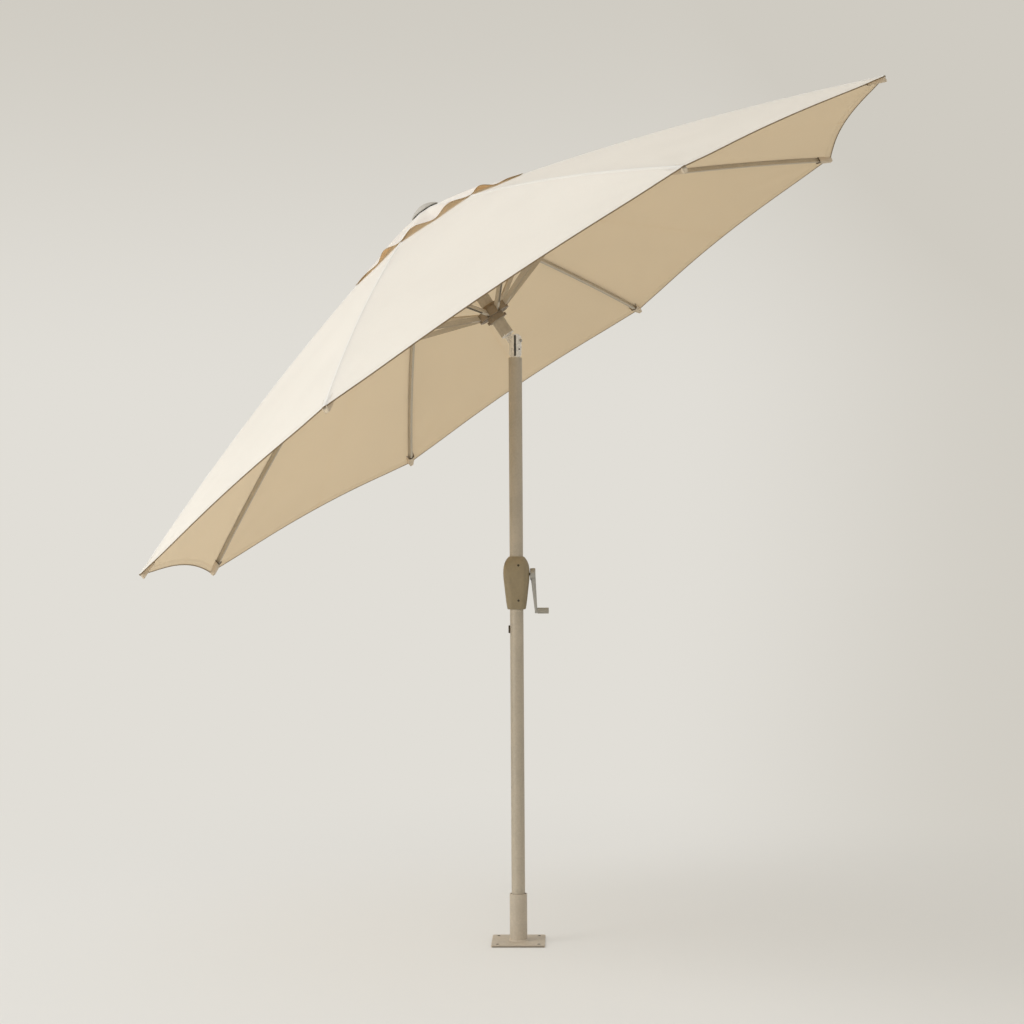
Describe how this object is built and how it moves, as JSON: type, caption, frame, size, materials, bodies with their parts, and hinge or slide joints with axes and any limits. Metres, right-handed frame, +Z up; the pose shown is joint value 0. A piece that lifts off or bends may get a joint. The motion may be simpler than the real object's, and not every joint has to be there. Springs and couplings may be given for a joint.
{
  "type": "patio umbrella",
  "caption": "Tilting market umbrella: an octagonal vented canopy on ribs and struts, raised by a crank, with a tilt joint and a bolt-down base plate.",
  "frame": {"origin": "middle of the base plate's underside, at the centre of its bolt holes", "axes": "+Z up along the pole, +X to the crank, the canopy leans towards -X"},
  "size_m": [1.9309, 2.3096, 2.3115],
  "materials": {
    "pole_paint": "satin",
    "base_paint": "satin",
    "knuckle_alloy": "satin",
    "crank_alloy": "satin",
    "housing_plastic": "matte",
    "hub_plastic": "matte",
    "finial_plastic": "matte",
    "grip_plastic": "matte",
    "inner_plastic": "matte",
    "dark_steel": "satin",
    "pin_steel": "satin",
    "cord_fibre": "matte",
    "canopy_fabric": "matte"
  },
  "bodies": {
    "base": {"base_plate": "base_paint", "base_socket": "base_paint", "base_weld": "base_paint", "socket_sleeve": "inner_plastic", "lower_pole": "pole_paint", "pole_coupler": "pin_steel", "snap_spring": "pin_steel", "upper_pole": "pole_paint", "crank_housing_front": "housing_plastic", "crank_housing_rear": "housing_plastic", "housing_screws": "dark_steel", "tilt_lower_knuckle": "knuckle_alloy", "knuckle_rivet": "dark_steel", "tilt_pin": "pin_steel", "tilt_button_spring": "pin_steel", "lift_cord_lower": "cord_fibre"},
    "snap_button": {"snap_button": "dark_steel"},
    "tilt_button": {"tilt_button": "dark_steel"},
    "crank": {"crank_shaft": "pin_steel", "crank_arm": "crank_alloy", "crank_pin": "pin_steel", "knob_pin": "pin_steel"},
    "crank_knob": {"crank_knob": "grip_plastic"},
    "upper_frame": {"tilt_upper_knuckle": "knuckle_alloy", "canopy_tube": "pole_paint", "top_hub": "hub_plastic", "hub_pins": "pin_steel", "pulley_pin": "pin_steel", "lift_cord_upper": "cord_fibre", "finial": "finial_plastic", "finial_stud": "pin_steel"},
    "pulley": {"pulley": "inner_plastic"},
    "runner": {"runner": "hub_plastic", "runner_pins": "pin_steel"},
    "rib_1": {"rib_1": "pole_paint", "canopy_panel_1": "canopy_fabric"},
    "rib_2": {"rib_2": "pole_paint", "canopy_panel_2": "canopy_fabric"},
    "rib_3": {"rib_3": "pole_paint", "canopy_panel_3": "canopy_fabric"},
    "rib_4": {"rib_4": "pole_paint", "canopy_panel_4": "canopy_fabric"},
    "rib_5": {"rib_5": "pole_paint", "canopy_panel_5": "canopy_fabric"},
    "rib_6": {"rib_6": "pole_paint", "canopy_panel_6": "canopy_fabric"},
    "rib_7": {"rib_7": "pole_paint", "canopy_panel_7": "canopy_fabric"},
    "rib_8": {"rib_8": "pole_paint", "canopy_panel_8": "canopy_fabric"},
    "strut_1": {"strut_1": "pole_paint"},
    "strut_2": {"strut_2": "pole_paint"},
    "strut_3": {"strut_3": "pole_paint"},
    "strut_4": {"strut_4": "pole_paint"},
    "strut_5": {"strut_5": "pole_paint"},
    "strut_6": {"strut_6": "pole_paint"},
    "strut_7": {"strut_7": "pole_paint"},
    "strut_8": {"strut_8": "pole_paint"}
  },
  "joints": [
    {"name": "canopy_tilt", "type": "hinge", "parent": "base", "child": "upper_frame", "pos_m": [0, 0, 1.68], "axis": [0, -1, 0], "range_deg": [-33.4, 0]},
    {"name": "canopy_fold", "type": "hinge", "parent": "upper_frame", "child": "rib_1", "pos_m": [-0.2075, 0.01722, 2.07022], "axis": [0.3195, -0.9239, 0.2107], "range_deg": [-58.5, 0], "deforming": ["canopy_panel_1"]},
    {"name": "rib_2_fold", "type": "hinge", "parent": "upper_frame", "child": "rib_2", "pos_m": [-0.22784, 0.04158, 2.05681], "axis": [0.7713, -0.3827, 0.5086], "range_deg": [-58.5, 0], "deforming": ["canopy_panel_2"]},
    {"name": "rib_3_fold", "type": "hinge", "parent": "upper_frame", "child": "rib_3", "pos_m": [-0.25659, 0.04158, 2.03785], "axis": [0.7713, 0.3827, 0.5086], "range_deg": [-58.5, 0], "deforming": ["canopy_panel_3"]},
    {"name": "rib_4_fold", "type": "hinge", "parent": "upper_frame", "child": "rib_4", "pos_m": [-0.27692, 0.01722, 2.02445], "axis": [0.3195, 0.9239, 0.2107], "range_deg": [-58.5, 0], "deforming": ["canopy_panel_4"]},
    {"name": "rib_5_fold", "type": "hinge", "parent": "upper_frame", "child": "rib_5", "pos_m": [-0.27692, -0.01722, 2.02445], "axis": [-0.3195, 0.9239, -0.2107], "range_deg": [-58.5, 0], "deforming": ["canopy_panel_5"]},
    {"name": "rib_6_fold", "type": "hinge", "parent": "upper_frame", "child": "rib_6", "pos_m": [-0.25659, -0.04158, 2.03785], "axis": [-0.7713, 0.3827, -0.5086], "range_deg": [-58.5, 0], "deforming": ["canopy_panel_6"]},
    {"name": "rib_7_fold", "type": "hinge", "parent": "upper_frame", "child": "rib_7", "pos_m": [-0.22784, -0.04158, 2.05681], "axis": [-0.7713, -0.3827, -0.5086], "range_deg": [-58.5, 0], "deforming": ["canopy_panel_7"]},
    {"name": "rib_8_fold", "type": "hinge", "parent": "upper_frame", "child": "rib_8", "pos_m": [-0.2075, -0.01722, 2.07022], "axis": [-0.3195, -0.9239, -0.2107], "range_deg": [-58.5, 0], "deforming": ["canopy_panel_8"]},
    {"name": "runner_slide", "type": "slide", "parent": "upper_frame", "child": "runner", "axis": [-0.5505, 0, 0.8348], "range_m": [-0.044, 0]},
    {"name": "strut_1_fold", "type": "hinge", "parent": "runner", "child": "strut_1", "pos_m": [-0.03554, 0.01378, 1.79432], "axis": [0.3195, -0.9239, 0.2107], "range_deg": [-96.5, 0]},
    {"name": "strut_2_fold", "type": "hinge", "parent": "runner", "child": "strut_2", "pos_m": [-0.0518, 0.03326, 1.78359], "axis": [0.7713, -0.3827, 0.5086], "range_deg": [-96.5, 0]},
    {"name": "strut_3_fold", "type": "hinge", "parent": "runner", "child": "strut_3", "pos_m": [-0.07481, 0.03326, 1.76842], "axis": [0.7713, 0.3827, 0.5086], "range_deg": [-96.5, 0]},
    {"name": "strut_4_fold", "type": "hinge", "parent": "runner", "child": "strut_4", "pos_m": [-0.09107, 0.01378, 1.7577], "axis": [0.3195, 0.9239, 0.2107], "range_deg": [-96.5, 0]},
    {"name": "strut_5_fold", "type": "hinge", "parent": "runner", "child": "strut_5", "pos_m": [-0.09107, -0.01378, 1.7577], "axis": [-0.3195, 0.9239, -0.2107], "range_deg": [-96.5, 0]},
    {"name": "strut_6_fold", "type": "hinge", "parent": "runner", "child": "strut_6", "pos_m": [-0.07481, -0.03326, 1.76842], "axis": [-0.7713, 0.3827, -0.5086], "range_deg": [-96.5, 0]},
    {"name": "strut_7_fold", "type": "hinge", "parent": "runner", "child": "strut_7", "pos_m": [-0.0518, -0.03326, 1.78359], "axis": [-0.7713, -0.3827, -0.5086], "range_deg": [-96.5, 0]},
    {"name": "strut_8_fold", "type": "hinge", "parent": "runner", "child": "strut_8", "pos_m": [-0.03554, -0.01378, 1.79432], "axis": [-0.3195, -0.9239, -0.2107], "range_deg": [-96.5, 0]},
    {"name": "crank_turn", "type": "hinge", "parent": "base", "child": "crank", "pos_m": [0, 0, 1.033], "axis": [1, 0, 0], "range_deg": [0, 3600]},
    {"name": "pulley_turn", "type": "hinge", "parent": "upper_frame", "child": "pulley", "pos_m": [-0.21138, 0, 2.00058], "axis": [0, 1, 0], "range_deg": [-280, 0]},
    {"name": "knob_spin", "type": "hinge", "parent": "crank", "child": "crank_knob", "pos_m": [0.0586, 0, 0.93], "axis": [1, 0, 0], "continuous": true},
    {"name": "snap_button_press", "type": "slide", "parent": "base", "child": "snap_button", "axis": [1, 0, 0], "range_m": [0, 0.005], "stiffness_N_per_m": 1500, "springref_m": -0.004, "deforming": ["snap_spring"]},
    {"name": "tilt_button_press", "type": "slide", "parent": "base", "child": "tilt_button", "axis": [-0.866, 0.5, 0], "range_m": [0, 0.002], "stiffness_N_per_m": 2000, "springref_m": -0.002, "deforming": ["tilt_button_spring"]}
  ],
  "couplings": [
    {"joint": "rib_2_fold", "follows": "canopy_fold", "ratio": 1},
    {"joint": "rib_3_fold", "follows": "canopy_fold", "ratio": 1},
    {"joint": "rib_4_fold", "follows": "canopy_fold", "ratio": 1},
    {"joint": "rib_5_fold", "follows": "canopy_fold", "ratio": 1},
    {"joint": "rib_6_fold", "follows": "canopy_fold", "ratio": 1},
    {"joint": "rib_7_fold", "follows": "canopy_fold", "ratio": 1},
    {"joint": "rib_8_fold", "follows": "canopy_fold", "ratio": 1},
    {"joint": "strut_1_fold", "follows": "canopy_fold", "ratio": 1.6495},
    {"joint": "strut_2_fold", "follows": "canopy_fold", "ratio": 1.6495},
    {"joint": "strut_3_fold", "follows": "canopy_fold", "ratio": 1.6495},
    {"joint": "strut_4_fold", "follows": "canopy_fold", "ratio": 1.6495},
    {"joint": "strut_5_fold", "follows": "canopy_fold", "ratio": 1.6495},
    {"joint": "strut_6_fold", "follows": "canopy_fold", "ratio": 1.6495},
    {"joint": "strut_7_fold", "follows": "canopy_fold", "ratio": 1.6495},
    {"joint": "strut_8_fold", "follows": "canopy_fold", "ratio": 1.6495},
    {"joint": "runner_slide", "follows": "canopy_fold", "m_per_rad": 0.04309},
    {"joint": "crank_turn", "follows": "canopy_fold", "ratio": -61.5},
    {"joint": "pulley_turn", "follows": "canopy_fold", "ratio": 4.78}
  ]
}
